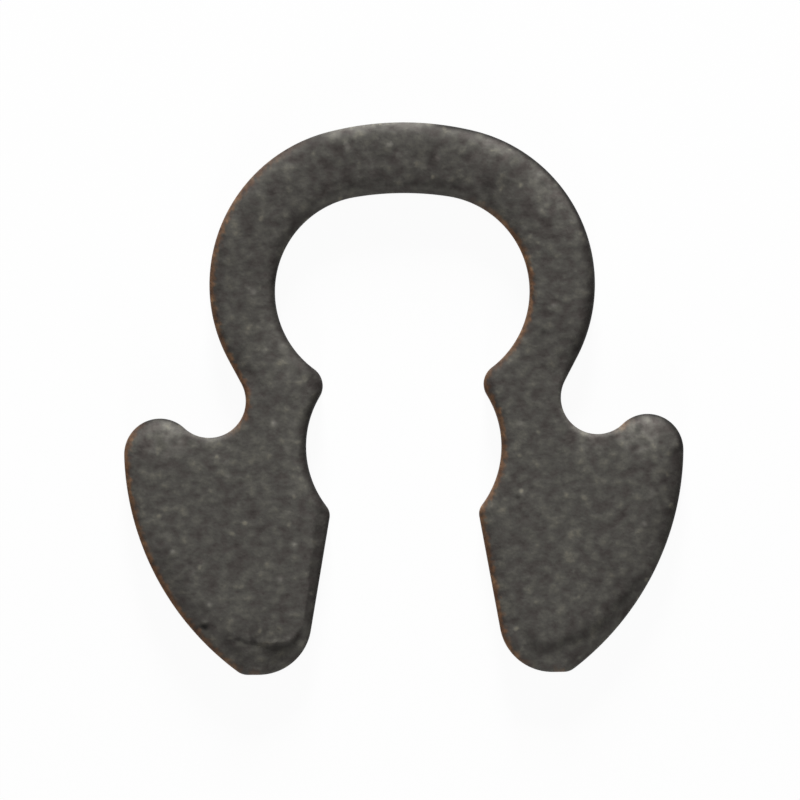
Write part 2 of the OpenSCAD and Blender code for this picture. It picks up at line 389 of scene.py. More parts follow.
# %% The fall at the edge
def fall_at_edge(felt, section, wider):
    """The sum of a quarter ellipse, depth * (1 - sqrt(1 - (1 - felt / reach)^2)), a cubic pillow,
    depth * (1 - felt / reach)^3, and a straight bevel, depth * (1 - felt / reach). Each is nothing past its
    reach, and wider stretches all three."""
    reaches, (roll_depth, pillow_depth, bevel_depth) = section.T[0::2], section.T[1::2]
    roll, pillow, bevel = 1 - np.minimum(felt / (reaches * wider), 1)
    return roll_depth * (1 - np.sqrt(1 - roll**2)) + pillow_depth * pillow**3 + bevel_depth * bevel


CROWN_ROW = np.array([SECTION["crown"]] * 3, float)
print("the crown's edge has fallen", fall_at_edge(np.array([0, 0.1, 0.5]), CROWN_ROW, 1).round(3),
      "mm at 0, 0.1 and 0.5 mm from the outline")

# %% [markdown]
# ## Unevenness
#
# Nothing on a tumbled stamping is quite even: the roll widens and narrows, the face has a swell of a few
# microns, and the coat's bands have ragged borders. A noise texture could do it in the material, but the shape
# and the paint have to agree, so both read the same sum of plane waves in many directions. Its seed is fixed.


# %% Waves in many directions
def waves(points, count, longest, shortest, seed=7):
    """A sum of plane waves, cos(k . p + phase), with lengths between the two given and a spread of 1.
    The same seed gives the same waves everywhere, so that pieces of a surface match where they meet."""
    rng = np.random.default_rng(seed)
    k = direction(rng.uniform(0, 360, count)) * (2 * np.pi / np.geomspace(longest, shortest, count))[:, None]
    phase = rng.uniform(0, 2 * np.pi, count)
    return np.cos(points @ k.T + phase).sum(1) * math.sqrt(2 / count)


print("the spread of the waves along the outline is", waves(edge, 30, 6.0, 1.2).std().round(2))

# %% [markdown]
# ## The pressed tips of the lugs
#
# The end of each lug is pressed down a little, so that the ring starts easily on the shaft. On the left lug the
# press has left a sharp step with a raised lip, and on the right lug only a soft hollow. They could be cut with
# a boolean, but a press leaves a slope and not a cut: each step follows a line across the lug, and the height
# depends on the signed distance past that line.

# %% The lines of the two steps, in mm
LEFT_LINE = np.array([[-7.6, -6.45], [-6.6, -6.62], [-6.03, -6.84], [-5.6, -6.92], [-5.17, -7.04],
                      [-4.7, -7.07], [-4.24, -7.0], [-3.91, -6.78], [-3.65, -6.28], [-3.47, -5.67]])
RIGHT_LINE = np.array([[3.95, -6.1], [4.2, -6.72], [4.48, -7.12], [4.83, -7.32], [5.34, -7.26], [5.84, -7.02],
                       [6.35, -6.84], [6.93, -6.5], [7.66, -5.8], [8.39, -4.89]])
FINE, SOFT = 300, 41         # points that a line is drawn with, and how many of them round its corners


def beyond(points, line):
    """Signed distance past a line across the lug: above zero on the side of the tip.
    The line is drawn finely between its points, and the nearest of the fine points counts."""
    along = np.concatenate([[0], np.cumsum(np.linalg.norm(np.diff(line, axis=0), axis=1))])
    t = np.linspace(0, along[-1], FINE)
    soft = np.hanning(SOFT) / np.hanning(SOFT).sum()
    fine = [np.pad(np.interp(t, along, column), SOFT // 2, mode="edge") for column in line.T]
    fine = np.stack([np.convolve(column, soft, "valid") for column in fine], axis=1)
    apart = np.linalg.norm(points[:, None] - fine[None], axis=2)
    nearest = apart.argmin(1)
    tangent = np.gradient(fine, axis=0)[nearest]
    v = points - fine[nearest]
    return np.sign(v[:, 1] * tangent[:, 0] - v[:, 0] * tangent[:, 1]) * -apart.min(1)


print("the left tip is", beyond(np.array([[-5.0, tip_y]]), LEFT_LINE).round(2), "mm past its step")


# %% How far the press has lowered each point
def left_strength(points):
    """How deep the left step is along its line: it starts near x = -6.2, is strongest past x = -5, and is gone
    where the line turns up beside the mouth."""
    grows = 0.35 * smooth_step((points[:, 0] + 6.3) / 0.6) + 0.65 * smooth_step((points[:, 0] + 5.3) / 0.7)
    return grows * smooth_step((-points[:, 1] - 6.4) / 0.5)


def right_strength(points):
    """How deep the right hollow is: it starts at x = 3.9 and below y = -4.7."""
    return smooth_step((points[:, 0] - 3.9) / 0.8) * smooth_step((-points[:, 1] - 4.7) / 0.8)


def pressed(points):
    """Past the left line the step falls 0.09 mm within 0.11 mm and then 0.03 a millimetre, behind a lip 0.02 mm
    high and 0.14 wide. The right hollow falls 0.08 mm within 0.5 mm."""
    fall = np.zeros(len(points))
    left = (points[:, 0] < -3) & (points[:, 1] < -5)
    p = points[left]
    s = beyond(p, LEFT_LINE) + 0.015 * waves(p, 8, 1.4, 0.35)
    lip = 0.020 * np.exp(-(((s + 0.08) / 0.07) ** 2))
    fall[left] = left_strength(p) * (0.09 * smooth_step(s / 0.11) + 0.03 * np.clip(s, 0, 1.2) - lip)
    right = (points[:, 0] > 3) & (points[:, 1] < -4)
    p = points[right]
    s = beyond(p, RIGHT_LINE) + 0.04 * waves(p, 8, 1.5, 0.4)
    fall[right] = right_strength(p) * 0.08 * smooth_step((s + 0.25) / 0.5)
    return fall


TIPS = np.array([[-5.0, -7.9], [5.5, -7.9]])
print("the press has lowered the left tip and the right one by", pressed(TIPS).round(3), "mm")

# %% [markdown]
# ## Nodules and pits
#
# A phosphate bath leaves a few grains standing on the face, and tumbling leaves a few small pits. They catch a
# low light. Each is a bell-shaped rise or dip in the mesh, a tenth of a millimetre wide and a few microns high,
# and most are also paler or darker than the coat around them. Placing them one by one keeps the large ones where
# they are on this ring, and the fine ones are left to the material.

# %% Place the nodules and pits
MARKS = np.array([  # x, y, radius and rise in mm, and how much paler
    (-4.68, 0.87, 0.10, 0.012, 1.50), (-3.97, -3.49, 0.08, 0.010, 1.02), (1.32, 10.36, 0.09, 0.008, 0.77),
    (-4.48, -4.74, 0.10, 0.010, 0.85), (-5.36, 5.59, 0.13, 0.012, 0.94), (-5.52, 5.72, 0.08, 0.006, 0.42),
    (-5.63, 5.83, 0.07, 0.006, 0.37), (-8.36, -3.70, 0.08, 0.008, 0.77), (5.00, 8.41, 0.11, 0.008, 0.59),
    (5.44, 5.02, 0.09, 0.008, 0.77), (8.64, -2.89, 0.09, 0.008, 0.77), (-7.05, -5.62, 0.09, 0.008, 0.77),
    (-6.39, -0.51, 0.10, 0.006, 0.54), (-6.36, -1.02, 0.09, 0.006, 0.51), (4.21, 0.79, 0.11, 0.006, 0.51),
    (-4.37, 3.68, 0.10, 0.006, 0.59), (-4.94, 3.50, 0.09, 0.006, 0.48), (-3.90, -0.54, 0.08, 0.005, 0.48),
    (-4.02, -1.66, 0.10, 0.005, 0.42), (5.48, 8.98, 0.10, 0.006, 0.42), (4.22, -1.72, 0.10, 0.012, 0.51),
    (8.93, -1.75, 0.11, 0.005, 0.48), (-7.22, -6.22, 0.12, 0.030, 0.40), (-7.20, -6.44, 0.13, -0.020, -0.62),
    (4.08, -1.90, 0.09, -0.018, -0.45), (5.07, 4.05, 0.12, -0.010, -0.45), (6.90, -5.10, 0.10, -0.006, -0.31),
    (-7.72, -4.14, 0.09, -0.006, -0.28), (4.93, -2.50, 0.09, -0.005, -0.28),
    (-3.82, -2.99, 0.08, -0.005, -0.28), (-7.32, -6.40, 0.10, -0.010, -0.40),
    (-4.21, -0.08, 0.10, 0.006, 0.42), (-8.13, 0.02, 0.16, 0.004, 0.30), (-8.55, -3.20, 0.14, 0.005, 0.30),
    (-4.17, -2.38, 0.12, 0.004, 0.26), (-3.94, -2.65, 0.10, 0.004, 0.26), (-7.63, -4.45, 0.10, 0.006, 0.42),
    (-7.28, -4.13, 0.12, 0.004, 0.24), (-6.51, -5.66, 0.10, 0.003, 0.22), (-4.17, -6.02, 0.10, 0.004, 0.24),
    (-5.70, -6.65, 0.10, 0.004, 0.26), (7.80, 0.19, 0.12, 0.004, 0.36), (4.74, -1.34, 0.10, 0.003, 0.20)])
RISE, PALER = 3, 4


def from_marks(points):
    """How far each point is from each mark, measured in the mark's own radius."""
    return np.hypot(points[:, :1] - MARKS[:, 0], points[:, 1:2] - MARKS[:, 1]) / MARKS[:, 2]


def bells(points, column):
    """The sum of amount * exp(-(distance / radius)^2) over all marks."""
    return np.exp(-(from_marks(points) ** 2)) @ MARKS[:, column]


print(len(MARKS), "marks, of which", (MARKS[:, RISE] < 0).sum(), "are pits")

# %% [markdown]
# ## The height of the upper face
#
# Everything above comes together in one height over each point of the sheet, the way that a heightfield does.
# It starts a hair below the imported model's face, so that the swell and the nodules stay inside that box.

# %% The height over a point
HEADROOM = 0.008     # mm left above the face for the swell and the nodules
BEVELLED = 0.15      # mm of bevel past which an edge counts as bevelled


def upper_height(points, plain, felt, section):
    """Half the thickness, less the room, the edge's section and the press, plus the marks and a few microns of
    swell. The reach of the section changes slowly along the edge, and less where the edge is bevelled."""
    change = 0.05 * waves(points, 12, 12.0, 4.0) + 0.07 * waves(points, 24, 1.4, 0.4, seed=5)
    wider = 1 + change * np.where(section[:, BEVEL_DEPTH] > BEVELLED, 0.4, 1)
    swell = 0.003 * waves(points, 30, 6.0, 1.2) + 0.0016 * waves(points, 60, 0.9, 0.30, seed=9)
    level = top - HEADROOM - fall_at_edge(felt, section, wider) - pressed(points) + bells(points, RISE)
    return np.minimum(level + swell * smooth_step(plain / 0.3), top)


felt, mean = feel_edge(MIDDLES, depth_at(MIDDLES), edge_table)
print("the upper face is at", upper_height(MIDDLES, depth_at(MIDDLES), felt, mean[:, SECTION_COLUMNS]).round(3),
      "mm in the middle of the crown and of a lug, and the packed one at", round(top, 3))

# %% [markdown]
# ## Stitching the faces to the rim
#
# The rim is the section carried round the outline, so it is a grid: one way is the distance round, and the
# other is the way over the edge. The flat inside the rim has no such grid, because the band forks into lugs and
# lobes. It could be left to one many-sided face, but a swell and a step need points to bend. So a lattice of
# points is laid over the steel, closer together near the sharp step and the marks, and a Delaunay triangulation
# joins it to the rim's innermost rail without a seam.

# %% Lay the lattice
RIM = 0.5                                # mm of the rim that the carried section covers
LATTICE, FINE_LATTICE = 0.078, 0.036     # mm between points of the flat, and where the surface turns sharply
FINE_BAND = 0.30                         # mm on each side of the sharp step that get the fine lattice
STEP_FROM, STEP_TO, STEP_BELOW = -7, -3.2, -5.2      # mm: the sharp step lies between these x and below this y


def lattice(pitch, low, high):
    """Rows of points a pitch apart, where every second row is moved by half a pitch."""
    xs = np.arange(low[0], high[0], pitch)
    ys = np.arange(low[1], high[1], pitch * math.sqrt(3) / 2)
    x, y = np.meshgrid(xs, ys)
    x[1::2] += pitch / 2
    return np.stack([x.ravel(), y.ravel()], axis=1)


def needs_fine(points):
    """True beside the sharp step of the left lug, and round each nodule or pit."""
    close = (points[:, 0] > STEP_FROM) & (points[:, 0] < STEP_TO) & (points[:, 1] < STEP_BELOW)
    out = (from_marks(points) < 2).any(1)
    out[close] |= np.abs(beyond(points[close], LEFT_LINE)) < FINE_BAND
    return out


coarse, fine = (lattice(pitch, node_low[:2], node_high[:2]) for pitch in (LATTICE, FINE_LATTICE))
coarse = coarse[depth_at(coarse) > RIM + 0.6 * LATTICE]
coarse = coarse[~needs_fine(coarse)]
fine = fine[needs_fine(fine)]
fine = fine[depth_at(fine) > RIM + FINE_LATTICE]
flat = np.concatenate([coarse, fine])
print(len(coarse), "points in the lattice, and", len(fine), "finer ones")

# %% Triangulate between the lattice and the rim
WHOLE_HULL, SAME_POINT = 0, 1e-7     # the kind of output, and mm within which two points are one
inner_rail = edge - RIM * edge_normal
loop = np.arange(len(edge))
at = np.concatenate([inner_rail, flat])
fence = np.stack([loop, np.roll(loop, -1)], axis=1).tolist()
_, _, cells, source, _, _ = delaunay_2d_cdt(at, fence, [], WHOLE_HULL, SAME_POINT, True)
back_to = np.array([ids[0] for ids in source])
cells = back_to[np.array(cells)]
cells = cells[depth_at(at[cells].mean(axis=1)) > RIM - SAME_POINT]
print(len(cells), "triangles on each face, where", 2 * len(flat) + len(edge) - 2, "are expected")

# %% Carry the upper edge round: stations from the flat, over the roll, to the wall
ROLL_STATIONS = 12
HAIR = 0.0002        # mm by which the piece stays inside the solid that it replaces


def rail(inset, height):
    """One station: every point of the outline moved inwards by an inset, and set at a height."""
    spot = edge - np.reshape(inset, (-1, 1)) * edge_normal
    return np.column_stack([spot, np.broadcast_to(height, len(edge))])


upper = []
for a in np.radians(np.linspace(90, 0, ROLL_STATIONS)):
    inset = np.full(len(edge), RIM * (1 - math.cos(a)))
    spot = rail(inset, 0)[:, :2]
    felt, mean = feel_edge(spot, inset, edge_table)
    upper.append(rail(inset, upper_height(spot, inset, felt, mean[:, SECTION_COLUMNS])))
roll_end = upper[-1][:, 2]
print("the roll meets the wall", (top - roll_end.max()).round(3), "to", (top - roll_end.min()).round(3),
      "mm below the face")

# %% Carry the wall and the broken edge at the foot round
WALL_STATIONS, BREAK_STATIONS = 6, 4
TORN_FROM, TORN_OVER = 0.35, 0.3         # share of the wall: where the torn band starts, and how gradually
TORN_INSET = 0.02                        # mm that it stands back; the seat is shaved true and isn't torn
BREAK_REACH, BREAK_DEPTH = 0.15, 0.12    # mm
foot = node_low[2]
wall_foot = foot + BREAK_DEPTH
torn = np.where(edge_name == "seat", 0, TORN_INSET)
wall = [rail(torn * smooth_step((t - TORN_FROM) / TORN_OVER), roll_end + (wall_foot - roll_end) * t)
        for t in np.linspace(0, 1, WALL_STATIONS + 1)[1:]]
broken = [rail(torn + BREAK_REACH * (1 - math.cos(a)), foot + BREAK_DEPTH * (1 - math.sin(a)))
          for a in np.radians(np.linspace(0, 90, BREAK_STATIONS + 1)[1:])]
rim = np.array([*upper, *wall, *broken, rail(RIM, foot)])
rim[:, :, :2] -= HAIR * edge_normal
rails, points_round = rim.shape[:2]
print("the rim is", rails, "stations by", points_round, "points")

# %% Collect the points and the faces
flat_depth = depth_at(flat)
flat_felt, flat_mean = feel_edge(flat, flat_depth, edge_table)
flat_top = upper_height(flat, flat_depth, flat_felt, flat_mean[:, SECTION_COLUMNS])
vertices = np.concatenate([rim.reshape(-1, 3), np.column_stack([flat, flat_top]),
                           np.column_stack([flat, np.full(len(flat), foot)])])

k, i = np.meshgrid(np.arange(rails - 1), loop, indexing="ij")
j = (i + 1) % points_round
quads = np.stack([k * points_round + i, k * points_round + j, (k + 1) * points_round + j,
                  (k + 1) * points_round + i], axis=-1).reshape(-1, 4)
on_rail = cells < points_round
upper_cells = np.where(on_rail, cells, cells - points_round + rails * points_round)
lower_cells = np.where(on_rail, cells + (rails - 1) * points_round, upper_cells + len(flat))[:, ::-1]
triangles = np.concatenate([upper_cells, lower_cells])
print(len(vertices), "points,", len(quads), "four-sided faces and", len(triangles), "triangles")


# %% Build the mesh
def build_mesh(name, points, quads, triangles):
    """A mesh from arrays: points in mm, then four-sided faces, then three-sided ones."""
    mesh = bpy.data.meshes.new(name)
    mesh.vertices.add(len(points))
    mesh.vertices.foreach_set("co", (points * MM).ravel().astype(np.float32))
    corners = np.concatenate([quads.ravel(), triangles.ravel()]).astype(np.int32)
    sides = np.concatenate([np.full(len(quads), 4), np.full(len(triangles), 3)])
    mesh.loops.add(len(corners))
    mesh.loops.foreach_set("vertex_index", corners)
    mesh.polygons.add(len(sides))
    mesh.polygons.foreach_set("loop_start", (np.cumsum(sides) - sides).astype(np.int32))
    mesh.polygons.foreach_set("use_smooth", np.ones(len(sides), bool))
    mesh.update(calc_edges=True)
    mesh.validate()
    piece = bpy.data.objects.new(name, mesh)
    bpy.context.scene.collection.objects.link(piece)
    return piece


def read(mesh, name, size):
    """One value, or a row of them, for each face of a mesh."""
    values = np.zeros(len(mesh.polygons) * size)
    mesh.polygons.foreach_get(name, values)
    return values.reshape(-1, size)


ring = build_mesh("stamped_ring", vertices, quads, triangles)
facing, centre, area = read(ring.data, "normal", 3), read(ring.data, "center", 3), read(ring.data, "area", 1)
volume = ((facing * centre).sum(1) @ area[:, 0]) / 3
print("volume", round(volume / MM**3, 2), "mm3, which is above zero when the faces point outwards")

# %% [markdown]
# ## Painted shade and highlight, painted brown, and paler or darker places
#
# The tone differs from place to place, in some places as painted highlight. The rolled edges get painted shade,
# and some of them a painted highlight instead, and brown is painted along the edges that face left, where it
# stands for a warm light from that side, and a little on the tips. Masks in the material could place all this,
# but they would have to find the outline again. The depth and the edge's table are at hand here, so each point
# gets one factor for red, green and blue, kept as an attribute of the mesh, which the material multiplies its
# colour by.

# %% Helpers for colours
# The brown is painted on edges that face left, where it stands for a warm light from that side, and a little on
# the tips
USUAL_COAT, BROWN_AND_WARM_LIT_COAT = "#4D4B47", "#6A4F3B"
BROWN_REACH, BROWN_FADE = 0.25, 0.18     # mm in from the edge
WIDE_BAND = 0.7                          # mm: a darker band that reaches further than this is a wide one
LINE_AT, LINE_WIDTH = 0.21, 0.11         # mm: where the painted highlight line lies on the roll, and how wide it is
DARKEST_TINT, PALEST_TINT = 0.2, 5       # the coat is never multiplied by less or more


def linear(hex_colour):
    """An sRGB hex colour as linear values: ((c + 0.055) / 1.055)^2.4, or c / 12.92 when c is very dark."""
    c = np.array([int(hex_colour[i : i + 2], 16) for i in (1, 3, 5)]) / 255
    return (*np.where(c <= 0.04045, c / 12.92, ((c + 0.055) / 1.055) ** 2.4), 1.0)


BROWN_AND_WARM_LIGHT_COLOUR = np.array(linear(BROWN_AND_WARM_LIT_COAT)[:3]) / np.array(linear(USUAL_COAT)[:3])
print("where the coat is brown, its red, green and blue are", BROWN_AND_WARM_LIGHT_COLOUR.round(2), "of the usual ones")


# %% The bands beside the edge
def band_tone(plain, mean, ragged):
    """Painted shade, 1 - amount * (reach - depth) / (reach * fade), where the share is held between 0 and 1 and
    the reach is ragged, a painted highlight where the amount is below zero, plus the painted highlight line,
    line * exp(-((depth - at) / width)^2). Both are fainter under the painted brown."""
    amount, reach, fade, line, faces_left = mean.T
    wide = reach > WIDE_BAND
    reach = reach * (1 + np.where(amount < 0, 0.5, np.where(wide, 0.20, 0.07)) * ragged)
    covered = np.where(wide, 0.1, 0.8) * faces_left
    darker = amount * (1 - covered) * np.clip((reach - plain) / (reach * fade), 0, 1)
    lit = line * (1 - 0.6 * faces_left) * np.exp(-(((plain - LINE_AT) / LINE_WIDTH) ** 2))
    return 1 - darker + lit * (1 + 0.25 * ragged)


deep = np.array([0.05, 0.2, 0.5])
print("the side's tone 0.05, 0.2 and 0.5 mm in:",
      band_tone(deep, np.array([[*SHADE["side"], 0]] * 3), np.zeros(3)).round(2))

# %% Paler and darker places of the face
# The paler places along the crown's upper edge, at the lobes and in the notches are painted highlight, where
# those edges face the low lamp behind the crown; the other places are paler or darker patches
PLACES = np.array([  # x, y and radius in mm, and how much paler, or darker where it is below zero
    (0.9, 11.5, 1.7, 0.13), (2.5, 11.2, 0.7, 0.16), (-3.2, 11.0, 0.8, 0.12), (3.5, 10.6, 0.9, 0.44),
    (5.2, 9.3, 0.85, 0.37), (6.0, 8.2, 0.7, 0.18), (-8.6, 0.5, 0.9, 0.62), (8.5, 0.45, 0.85, 0.86),
    (6.7, 0.35, 0.75, 0.46), (-7.1, 0.1, 0.8, 0.20), (-6.3, 0.2, 0.5, 0.12), (-4.2, 10.4, 0.7, 0.34),
    (-5.4, 9.5, 0.6, 0.34), (-6.3, 8.5, 0.5, 0.20), (-4.9, 4.2, 0.45, 0.20), (-4.5, 3.5, 0.5, 0.24),
    (-3.9, 2.9, 0.5, 0.26), (-4.1, 0.6, 0.8, 0.10), (-3.9, -1.2, 0.7, 0.12), (-3.4, -3.5, 0.6, 0.08),
    (-4.5, 2.5, 0.5, 0.12), (4.6, -2.3, 0.6, 0.08), (-3.4, -2.3, 0.6, 0.08),
    (-0.4, 10.1, 1.9, -0.20), (1.6, 10.1, 1.3, -0.20), (3.4, 9.6, 0.7, -0.34), (-3.0, 9.8, 1.3, -0.15),
    (-4.7, 8.6, 1.2, -0.15), (-6.0, 6.6, 1.5, -0.15), (4.5, 8.4, 0.7, -0.12), (5.3, 3.8, 1.3, -0.10),
    (-5.0, -6.4, 0.9, -0.08), (7.3, -4.6, 1.0, -0.10), (-5.0, -7.5, 0.95, -0.20), (-5.9, -6.8, 0.6, -0.24),
    (-5.5, 4.5, 0.9, -0.09)])


def place_tone(points, plain, ragged, fine_ragged):
    """The sum of amount * exp(-(distance / radius)^4) over all places, made blotchy by the waves and fainter in
    the last 0.1 mm before the edge."""
    apart = np.hypot(points[:, :1] - PLACES[:, 0], points[:, 1:2] - PLACES[:, 1]) / PLACES[:, 2]
    blotchy = np.clip(0.85 + 0.32 * ragged + 0.16 * fine_ragged, 0, 1.8)
    return np.exp(-(apart**4)) @ PLACES[:, 3] * blotchy * np.clip(0.3 + plain / 0.15, 0, 1)


print(len(PLACES), "places, of which", (PLACES[:, 3] < 0).sum(), "are darker")


# %% Painted shade and highlight at the pressed tips
def tip_tone(points):
    """Painted shade in the left step's groove, 0.42 darker in a line 0.08 mm wide, a painted highlight on its
    lip, 0.16 paler, and all that lies past it 0.24 darker, each as strong as the step is there. The right hollow
    has a soft line of painted shade 0.26 darker."""
    tone = np.ones(len(points))
    left = (points[:, 0] < -3) & (points[:, 1] < -5)
    p = points[left]
    s = beyond(p, LEFT_LINE) + 0.02 * waves(p, 8, 1.4, 0.35)
    groove, lip = np.exp(-(((s - 0.06) / 0.08) ** 2)), np.exp(-(((s + 0.10) / 0.08) ** 2))
    tone[left] -= left_strength(p) * (0.24 * smooth_step(s / 0.15) + 0.42 * groove - 0.16 * lip)
    right = (points[:, 0] > 3) & (points[:, 1] < -3.5)
    p = points[right]
    s = beyond(p, RIGHT_LINE) + 0.12 * waves(p, 10, 1.5, 0.4)
    tone[right] -= 0.26 * np.exp(-((s / 0.24) ** 2)) * smooth_step((p[:, 0] - 3.9) / 0.8)
    return tone


print("the tone of the two tips:", tip_tone(TIPS).round(2))


# %% All of it together, on the face and on the wall
def coat_and_painted_light(points, plain, mean):
    """What the coat's colour is multiplied by: the bands of painted shade and highlight, the places and the marks
    add up, the tips' painted shade and highlight multiply them, a darker coat is a little browner, and the
    painted brown, which stands for warm light at edges that face left, covers all of it there."""
    faces_left = mean[:, 4]
    ragged, fine_ragged = waves(points, 30, 1.5, 0.35, seed=11), waves(points, 30, 0.5, 0.14, seed=13)
    tone = band_tone(plain, mean, ragged) + place_tone(points, plain, ragged, fine_ragged)
    tone = (tone + bells(points, PALER)) * tip_tone(points)
    browner = 0.35 * np.clip(1 - tone, 0, 0.5)[:, None] * np.array([0.0, 0.16, 0.10])
    brown_and_warm_light = faces_left * smooth_step((BROWN_REACH * (1 + 0.14 * fine_ragged) - plain) / BROWN_FADE)
    # the painted brown is strongest in the last 0.05 mm of the edge
    strong = 1 + 0.12 * fine_ragged + 0.5 * np.clip(1 - plain / 0.05, 0, 1)
    return tone[:, None] * (1 - browner) * (1 - brown_and_warm_light[:, None]) + (brown_and_warm_light * strong)[:, None] * BROWN_AND_WARM_LIGHT_COLOUR


def wall_tint(points, down, faces_left):
    """The sheared wall, where down runs from 0 at the roll to 1 at the foot: the burnished band is a little
    paler than the face, the torn band below a ragged line is 0.25 darker, and the painted brown, which stands for
    warm light from the left, thins out downwards."""
    ragged = waves(points, 30, 1.5, 0.35, seed=11)
    tone = 1.05 - 0.25 * smooth_step((down - TORN_FROM - 0.08 * ragged) / 0.12)
    thins_out = 1 - smooth_step((down - 0.05 * ragged) / 0.7)
    brown_and_warm_light = 0.5 * faces_left * thins_out * np.clip(0.7 + 0.5 * ragged, 0, 1)
    return tone[:, None] * (1 - brown_and_warm_light[:, None] + brown_and_warm_light[:, None] * BROWN_AND_WARM_LIGHT_COLOUR)


upper_spots, lower_spots = (some.reshape(-1, 3)[:, :2] for some in (rim[: len(upper)], rim[len(upper) :]))
upper_depth = ((edge - rim[: len(upper), :, :2]) * edge_normal).sum(2).ravel()
upper_shade = np.tile(edge_table[:, SHADE_COLUMNS], (len(upper), 1))
below = rails - len(upper)
down = np.clip(np.repeat(np.arange(1, below + 1) / WALL_STATIONS, points_round), 0, 1)
tint = np.concatenate([coat_and_painted_light(upper_spots, upper_depth, upper_shade),
                       wall_tint(lower_spots, down, np.tile(faces_left, below)),
                       coat_and_painted_light(flat, flat_depth, flat_mean[:, SHADE_COLUMNS]), np.ones((len(flat), 3))])
tint = np.clip(tint, DARKEST_TINT, PALEST_TINT)
print("the tint runs from", tint.min(0).round(2), "to", tint.max(0).round(2))

# %% How much of each point is sheared metal: all of the wall, fading out over the roll
SHEARED_OVER = 0.12      # mm in from the edge
sheared = np.zeros(len(vertices))
sheared[: len(upper_depth)] = smooth_step(1 - upper_depth / SHEARED_OVER)
sheared[len(upper_depth) : (rails - 2) * points_round] = 1      # the last two stations lie on the lower face
mesh = ring.data
mesh.attributes.new("coat_and_painted_light", "FLOAT_VECTOR", "POINT").data.foreach_set(
    "vector", tint.astype(np.float32).ravel())
mesh.attributes.new("sheared", "FLOAT", "POINT").data.foreach_set("value", sheared.astype(np.float32))
print(round(100 * (sheared > 0.5).mean()), "% of the points are on sheared metal")

# %% [markdown]
# ## The phosphate coat
#
# Zinc or manganese phosphate grows on the steel as a felt of tiny crystals, and soaks up oil. To the eye it is
# a matt, nearly black grey, a little olive where the coat is thick and a little purple-brown where it is thin or
# the oil lies deep. It is mottled in patches about half a millimetre wide, over slow clouds, with a fine grain
# and a few pale crystals. The crystals themselves are near 0.01 mm, too fine to show, so the grain is drawn at
# 0.13 mm. On the wall the punch has burnished the metal smoother, with upright scores.
#
# An image could be painted and wrapped round the ring, but noise on Object coordinates needs no unwrapping and
# has no seam. The same patterns give the colour, the bump and the roughness, as they do on the real coat.


# %% Helpers for materials
def add(tree, kind, inputs=None, **settings):
    """Adds one node: its settings, and for each input a value to hold, a socket to follow, or a node, whose
    first output is followed."""
    node = tree.nodes.new(kind)
    for name, value in settings.items():
        setattr(node, name, value)
    for name, value in (inputs or {}).items():
        if isinstance(value, bpy.types.Node):
            value = value.outputs[0]
        if isinstance(value, bpy.types.NodeSocket):
            tree.links.new(value, node.inputs[name])
        else:
            node.inputs[name].default_value = value
    return node


def per(millimetres):
    """The scale that makes a pattern repeat about every so many millimetres, on coordinates in metres."""
    return 1 / (millimetres * MM)


print("a pattern of 0.5 mm has the scale", per(0.5))

# %% The patterns of the coat
PATCHES, CLOUDS, GRAIN, PEBBLES = 0.48, 2.2, 0.13, 0.40      # mm
ROLLED_OUT = 1.18    # how much longer the patches are along the strip, which was rolled along x, than across it
coat = bpy.data.materials.new("phosphate_coated_spring_steel")
coat.use_nodes = True
tree = coat.node_tree
tree.nodes.clear()
where = add(tree, "ShaderNodeTexCoord").outputs["Object"]
strip = add(tree, "ShaderNodeMapping", {"Vector": where, "Scale": (1.0, ROLLED_OUT, 1.0)})
patches = add(tree, "ShaderNodeTexNoise", {"Vector": strip, "Scale": per(PATCHES), "Detail": 2.0,
                                           "Roughness": 0.55})
clouds = add(tree, "ShaderNodeTexNoise", {"Vector": where, "Scale": per(CLOUDS), "Detail": 1.0})
grain = add(tree, "ShaderNodeTexNoise", {"Vector": where, "Scale": per(GRAIN), "Detail": 2.0, "Roughness": 0.6})
pebbles = add(tree, "ShaderNodeTexVoronoi", {"Vector": where, "Scale": per(PEBBLES), "Smoothness": 0.5},
              feature="SMOOTH_F1")
pebbles = add(tree, "ShaderNodeMapRange", {"Value": pebbles, "From Min": 0.1, "From Max": 0.7, "To Min": 0.21,
                                           "To Max": 0.03})
print("the patches are", PATCHES, "mm long and", round(PATCHES / ROLLED_OUT, 2), "mm across")

# %% Pale crystals, each in the middle of a cell, and larger where the patch is pale
SPECKS = 0.75        # mm between them
FAVOURED = 0.28      # how much nearer to a crystal a pale patch makes a point count
nearness = add(tree, "ShaderNodeTexVoronoi", {"Vector": where, "Scale": per(SPECKS)})
nearness = add(tree, "ShaderNodeMath", {0: patches, 1: -FAVOURED, 2: nearness}, operation="MULTIPLY_ADD")
specks = add(tree, "ShaderNodeMapRange", {"Value": nearness, "From Min": 0.02, "From Max": -0.10})
print("pale crystals stand about", SPECKS, "mm apart")

# %% Scores on the sheared wall: noise drawn out ten times along z
SCORES = 0.14        # mm between scores
on_wall = add(tree, "ShaderNodeAttribute", attribute_name="sheared").outputs["Fac"]
upright = add(tree, "ShaderNodeMapping", {"Vector": where, "Scale": (1.0, 1.0, 0.1)})
scores = add(tree, "ShaderNodeTexNoise", {"Vector": upright, "Scale": per(SCORES), "Detail": 2.0})
scores = add(tree, "ShaderNodeMath", {0: scores, 1: 0.5}, operation="SUBTRACT")
scores = add(tree, "ShaderNodeMath", {0: scores, 1: on_wall}, operation="MULTIPLY")
print("the wall is", round(thickness, 2), "mm high, and its scores are", SCORES, "mm apart")

